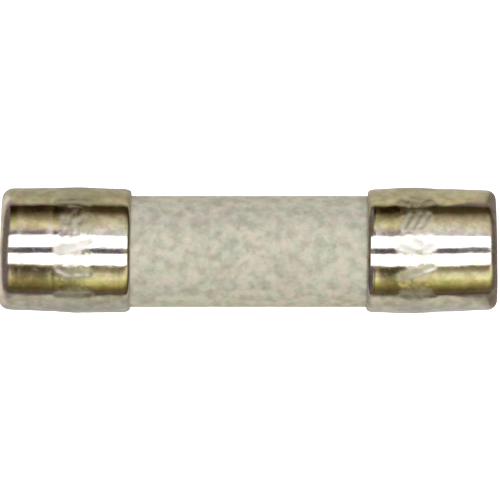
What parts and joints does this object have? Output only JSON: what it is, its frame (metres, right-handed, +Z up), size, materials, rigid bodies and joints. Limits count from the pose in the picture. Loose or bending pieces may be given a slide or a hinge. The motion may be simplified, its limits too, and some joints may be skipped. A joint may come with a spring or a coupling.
{
  "type": "cartridge fuse",
  "caption": "Cylindrical cartridge fuse: a ceramic tube with a plated metal cap on each end, holding a wire-wound fusible element in sand.",
  "frame": {"origin": "centre of the fuse, halfway along its length on its axis", "axes": "+X along the fuse's axis towards the right cap, +Z up when the fuse lies flat"},
  "size_m": [0.02, 0.005, 0.005],
  "materials": {
    "ceramic": "unglazed, fine grey-beige speckle",
    "nickel_plate": "bright nickel plating on brass, lightly worn",
    "cement": "cured brown resin",
    "solder": "frozen, satin, slightly grainy",
    "fibre_board": "pressed fibre, matte",
    "quartz_sand": "packed fine grains, matte",
    "ceramic_yarn": "twisted ceramic fibre, matte",
    "element_metal": "drawn silver-plated wire, bright"
  },
  "bodies": {
    "root": {"ceramic_tube": "ceramic", "end_cap_left": "nickel_plate", "end_cap_right": "nickel_plate", "cement_ring_left": "cement", "cement_ring_right": "cement", "solder_left": "solder", "solder_right": "solder", "retaining_disc_left": "fibre_board", "retaining_disc_right": "fibre_board", "sand_filling": "quartz_sand", "element_core": "ceramic_yarn", "element_wire": "element_metal"}
  },
  "joints": []
}
